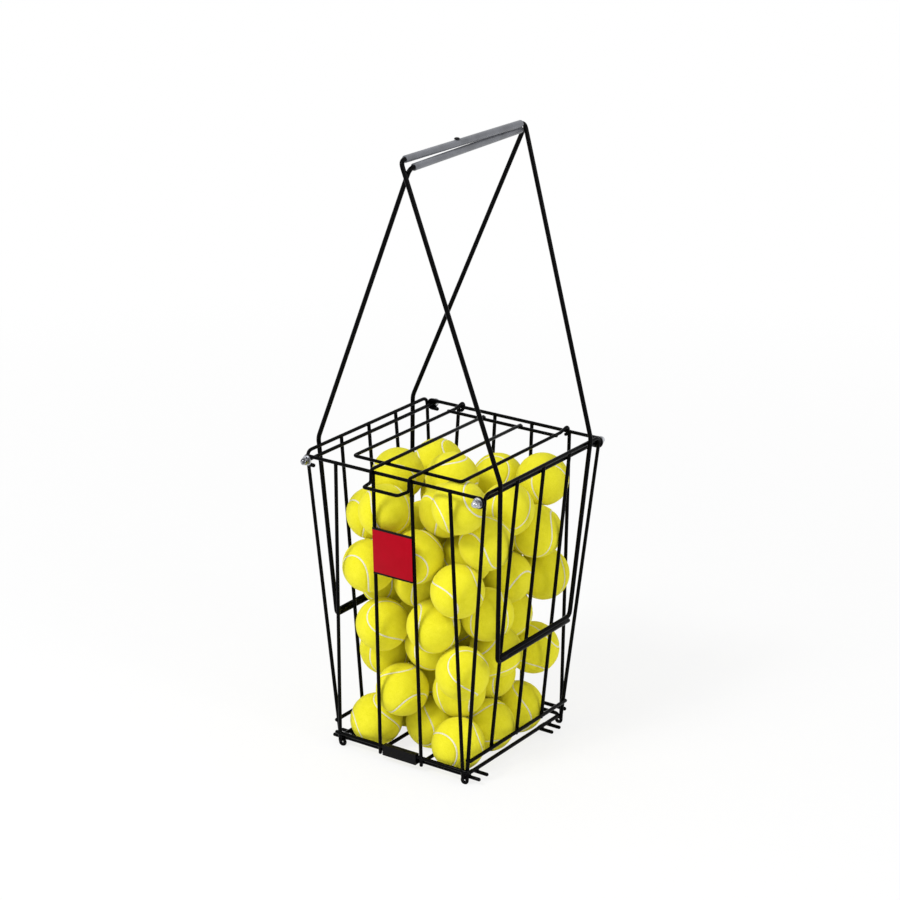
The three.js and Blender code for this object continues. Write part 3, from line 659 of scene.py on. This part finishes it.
LID_INNER_Z = END_Z + RAIL + LID + CLEAR
WELD_SINK = 0.8  # how far the lid's welded wires sink into each other
LID_Z = LID_INNER_Z - 2 * LID + WELD_SINK
LID_X, LID_FRONT, LID_BACK = 78.4, -100, 104
LID_HOOK_LEAD, LID_BEND = 14, 5
TAB_X, TAB_DROP, TAB_REACH, TAB_INSET, TAB_BEND = 27.65, 16, 19, 3, 4


def lid():
    """An outer wire that hooks over the back rail, a cross wire, and the pull tab's two arms."""
    reach = RAIL + LID + CLEAR

    def hook(side):
        centre = (side * LID_X, RIM_Y, END_Z)
        return curl(centre, reach, (0, -1, 0), (0, 0, 1), 0.21, 0.8)

    def frame_at(side, y):
        return (side * LID_X, y, LID_Z)

    outer = hook(-1)[::-1]
    lead = RIM_Y - LID_HOOK_LEAD
    outer += bent([frame_at(-1, lead), frame_at(-1, LID_FRONT), frame_at(1, LID_FRONT),
                   frame_at(1, lead)], LID_BEND)
    outer += hook(1)
    tab_y, tab_z = -RIM_Y - reach, LID_INNER_Z - TAB_DROP
    arm = [(TAB_X, LID_BACK, LID_INNER_Z), (TAB_X, tab_y, LID_INNER_Z), (TAB_X, tab_y, tab_z),
           (TAB_X - TAB_INSET, tab_y - TAB_REACH, tab_z)]
    tab = bent([(-a, b, c) for a, b, c in arm] + arm[::-1], TAB_BEND)
    runs = [drawn(outer, DIP_LID), drawn(tab, DIP_LID)]
    cross = [Vector(frame_at(side, LID_BACK)) for side in (-1, 1)]
    runs.append(drawn(cross, DIP_LID, domed=False))
    for side in (-1, 1):
        runs.append(bead(frame_at(side, LID_BACK), (1, 0, 0), LID, 3.4, 1.18))
        for y in (LID_FRONT, LID_BACK):
            runs.append(bead((side * TAB_X, y, LID_Z + 1.6), (0, 1, 0), 1.8, 3.2, 1.15))
    return wires("lid_wires", runs)


dress(lid(), "lid", "wire_coat", "lid_frame")


# ---- Label plate

LABEL_DROP, LABEL_HALF_HEIGHT, LABEL_LIP = 66, 29.5, 2.2


def label_plate():
    """A bare red sheet whose top and bottom edges are rolled over black strip. The sheet is a
    little narrower than the solid, and its rolled edges stand a little past it."""
    slope = (RIM_Y - BASE_Y) / (END_Z - END_FOOT_Z)
    middle = AXLE_Z - LABEL_DROP - LABEL_HALF_HEIGHT
    face_y = -end_y(middle) - (WALL + CLEAR + LABEL_LIP)
    lean = Matrix.Rotation(math.atan(slope), 4, "X")
    tilt = Matrix.Translation(Vector((0, face_y, middle)) * MM) @ lean
    bm = bmesh.new()

    def block(size, centre, ease, segments):
        corners = bmesh.ops.create_cube(bm, size=1)["verts"]
        bmesh.ops.scale(bm, verts=corners, vec=Vector(size) * MM)
        bmesh.ops.translate(bm, verts=corners, vec=Vector(centre) * MM)
        edges = list({edge for corner in corners for edge in corner.link_edges})
        bmesh.ops.bevel(bm, geom=edges, offset=ease * MM, offset_type="OFFSET", segments=segments,
                        profile=0.5, affect="EDGES", material=-1)

    # The sheet, and then its top and bottom edge.
    block((57.4, 1.1, 57.4), (0, 0.55, 0.2), 0.3, 3)
    red_faces = len(bm.faces)
    block((57.6, 2.3, 2.7), (0, 0.95, 29.2), 0.5, 4)
    block((57.6, 2.3, 2.6), (0, 0.95, -28.8), 0.5, 4)
    bm.faces.ensure_lookup_table()
    for face in bm.faces[red_faces:]:
        face.material_index = 1
    bmesh.ops.transform(bm, matrix=tilt, verts=bm.verts)
    piece = from_bmesh("bare_label_plate", bm, RED, STRIP)
    piece.data.set_sharp_from_angle(angle=math.radians(40))
    return piece


dress(label_plate(), "basket", "label_print", "label_plate")


# ---- Tennis balls

BALL = 33.25
FELT_SUNK = 0.2  # the felt lies this far inside the solid ball
GROOVE_DEPTH, GROOVE_HALF = 0.95, 2.7
NAP_DEPTH, NAP_SIZE = 0.16, 4.5
SEAM_DEPTH, SEAM_RADIUS = 1.85, 1.3
NECK_HALF = 9  # how much of a pair's middle is left out of the fit of its balls


def seam_line(turns):
    """The closed curve of a ball's seam on a unit sphere."""
    points = []
    for i in range(turns):
        t = 2 * math.pi * i / turns
        points.append(Vector((
            0.75 * math.cos(t) + 0.25 * math.cos(3 * t),
            0.75 * math.sin(t) - 0.25 * math.sin(3 * t),
            math.sqrt(0.75) * math.sin(2 * t),
        )))
    return points


def felt_ball():
    """One ball about the origin: felt with a groove along its seam, and the seam in the groove."""
    line = seam_line(260)
    bm = bmesh.new()
    bmesh.ops.create_icosphere(bm, subdivisions=6, radius=1)
    for spot in bm.verts:
        nearest = min((spot.co - p).length_squared for p in line)
        gap = math.sqrt(nearest) * BALL
        groove = GROOVE_DEPTH * max(0, 1 - (gap / GROOVE_HALF) ** 2)
        nap = NAP_DEPTH * noise.noise(spot.co * BALL / NAP_SIZE)
        spot.co *= (BALL - FELT_SUNK - groove + nap) * MM
    ball = from_bmesh("felt_ball", bm, FELT, SEAM)
    along = [(p * (BALL - SEAM_DEPTH), SEAM_RADIUS) for p in line + line[:2]]
    strip = wires("seam", [along], SEAM, sides=3)
    both = bmesh.new()
    both.from_mesh(ball.data)
    both.from_mesh(strip.data)
    for face in both.faces[len(ball.data.polygons):]:
        face.material_index = 1
    bpy.data.objects.remove(ball)
    bpy.data.objects.remove(strip)
    mesh = bpy.data.meshes.new("felt_ball_mesh")
    both.to_mesh(mesh)
    both.free()
    mesh.shade_smooth()
    return mesh


def sphere_through(points):
    """The centre of the sphere that these points lie on, by least squares."""
    rows = Matrix([[0] * 4 for _ in range(4)])
    sums = Vector((0, 0, 0, 0))
    for p in points:
        line = Vector((2 * p.x, 2 * p.y, 2 * p.z, 1))
        for i in range(4):
            sums[i] += line[i] * p.length_squared
            for j in range(4):
                rows[i][j] += line[i] * line[j]
    return (rows.inverted() @ sums).to_3d()


def ball_centres(node):
    """Where the one or two balls of a solid are, in millimetres."""
    points = [v.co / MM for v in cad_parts[node].data.vertices]
    if "pair" not in node:
        return [sphere_through(points)]
    middle = sum(points, Vector()) / len(points)
    far = max(points, key=lambda p: (p - middle).length)
    along = (far - middle).normalized()
    halves = [[p for p in points if side * (p - middle).dot(along) > NECK_HALF] for side in (-1, 1)]
    return [sphere_through(half) for half in halves]


BALL_MESH = felt_ball()
rolls = random.Random(7)
for node in sorted(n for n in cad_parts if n.startswith("ball")):
    bm = bmesh.new()
    for centre in ball_centres(node):
        first = len(bm.verts)
        bm.from_mesh(BALL_MESH)
        bm.verts.ensure_lookup_table()
        axis = Vector((rolls.uniform(-1, 1), rolls.uniform(-1, 1), rolls.uniform(-1, 1)))
        roll = Matrix.Rotation(rolls.uniform(0, 2 * math.pi), 4, axis)
        turned = Matrix.Translation(centre * MM) @ roll
        bmesh.ops.transform(bm, matrix=turned, verts=bm.verts[first:])
    piece = from_bmesh(node.replace("ball", "felt_ball"), bm, FELT, SEAM)
    dress(piece, "basket", "felt", node)
bpy.data.meshes.remove(BALL_MESH)

# ---- Studio


def seen(tree):
    """1 for rays from the camera, mirrors or glass, which see the pale studio as white."""
    ray = add(tree, "ShaderNodeLightPath").outputs
    mirrored = add(tree, "ShaderNodeMath", {0: ray["Is Glossy Ray"], 1: ray["Is Transmission Ray"]},
                   operation="MAXIMUM").outputs["Value"]
    return add(tree, "ShaderNodeMath", {0: mirrored, 1: ray["Is Camera Ray"]},
               operation="MAXIMUM").outputs["Value"]


FLOOR_HALF = 12  # the studio's sizes are metres


def studio_floor():
    """A sheet of pale paper, nearly plain white where it is seen, which keeps a little shadow."""
    material, tree, place = blank("pale_paper")
    tooth = speckle(tree, place, 40, 4)
    paper = add(tree, "ShaderNodeBsdfPrincipled", {
        "Base Color": tones(tree, tooth, "#f6f6f6", "#fafafa")},
        Roughness=0.9, Specular_IOR_Level=0.1)
    white = add(tree, "ShaderNodeEmission", Strength=1)
    # Within 0.45 m of the middle a fifth of the paper's shade is seen, and none of it beyond 2 m.
    away = add(tree, "ShaderNodeVectorMath", {0: place}, operation="LENGTH").outputs["Value"]
    fade = add(tree, "ShaderNodeMapRange", {"Value": away},
               From_Min=0.45, From_Max=2, To_Min=0.8, To_Max=1).outputs["Result"]
    share = add(tree, "ShaderNodeMath", {0: fade, 1: seen(tree)}, operation="MULTIPLY")
    mixed = add(tree, "ShaderNodeMixShader", {
        0: share.outputs["Value"], 1: paper.outputs["BSDF"], 2: white.outputs["Emission"]})
    add(tree, "ShaderNodeOutputMaterial", {"Surface": mixed.outputs["Shader"]})
    bm = bmesh.new()
    bmesh.ops.create_grid(bm, x_segments=1, y_segments=1, size=FLOOR_HALF)
    from_bmesh("studio_floor", bm, material)


def studio_room():
    """A pale even room: white where it is seen, and a plain level of light on the object."""
    room = bpy.data.worlds.new("pale_room")
    bpy.context.scene.world = room
    room.use_nodes = True
    tree = room.node_tree
    tree.nodes.clear()
    level = add(tree, "ShaderNodeMapRange", {"Value": seen(tree)}, To_Min=0.64, To_Max=1)
    walls = add(tree, "ShaderNodeBackground", {"Strength": level.outputs["Result"]},
                Color=(1, 1, 1, 1))
    add(tree, "ShaderNodeOutputWorld", {"Surface": walls.outputs["Background"]})


LIT_SPOT = (0, 0, 0.3)


def softbox(name, place, target, size, power):
    lamp = bpy.data.lights.new(name, "AREA")
    lamp.shape, lamp.size, lamp.energy = "DISK", size, power
    light = bpy.data.objects.new(name, lamp)
    light.location = place
    light.rotation_euler = (Vector(target) - Vector(place)).to_track_quat("-Z", "Y").to_euler()
    bpy.context.collection.objects.link(light)


def camera():
    """The photograph's camera, from the fit of the rims, rods and base."""
    right = Vector((0.8237, 0.5669, 0.0087))
    up = Vector((-0.1971, 0.2720, 0.9419))
    back = right.cross(up).normalized()
    up = back.cross(right).normalized()
    lens = bpy.data.cameras.new("photo_camera")
    lens.lens, lens.sensor_width = 109.93, 36
    lens.clip_start, lens.clip_end = 0.1, 60
    eye = bpy.data.objects.new("photo_camera", lens)
    turned = Matrix((right, up, back)).transposed().to_4x4()
    eye.matrix_world = Matrix.Translation((1.7747, -2.6056, 1.5047)) @ turned
    bpy.context.collection.objects.link(eye)
    bpy.context.scene.camera = eye


studio_floor()
studio_room()
softbox("key_softbox", (-0.6, -2.2, 2.6), LIT_SPOT, 0.9, 57)
softbox("fill_softbox", (2.6, -0.4, 1.6), LIT_SPOT, 0.8, 14)
camera()
bpy.context.scene.view_settings.view_transform = "Standard"
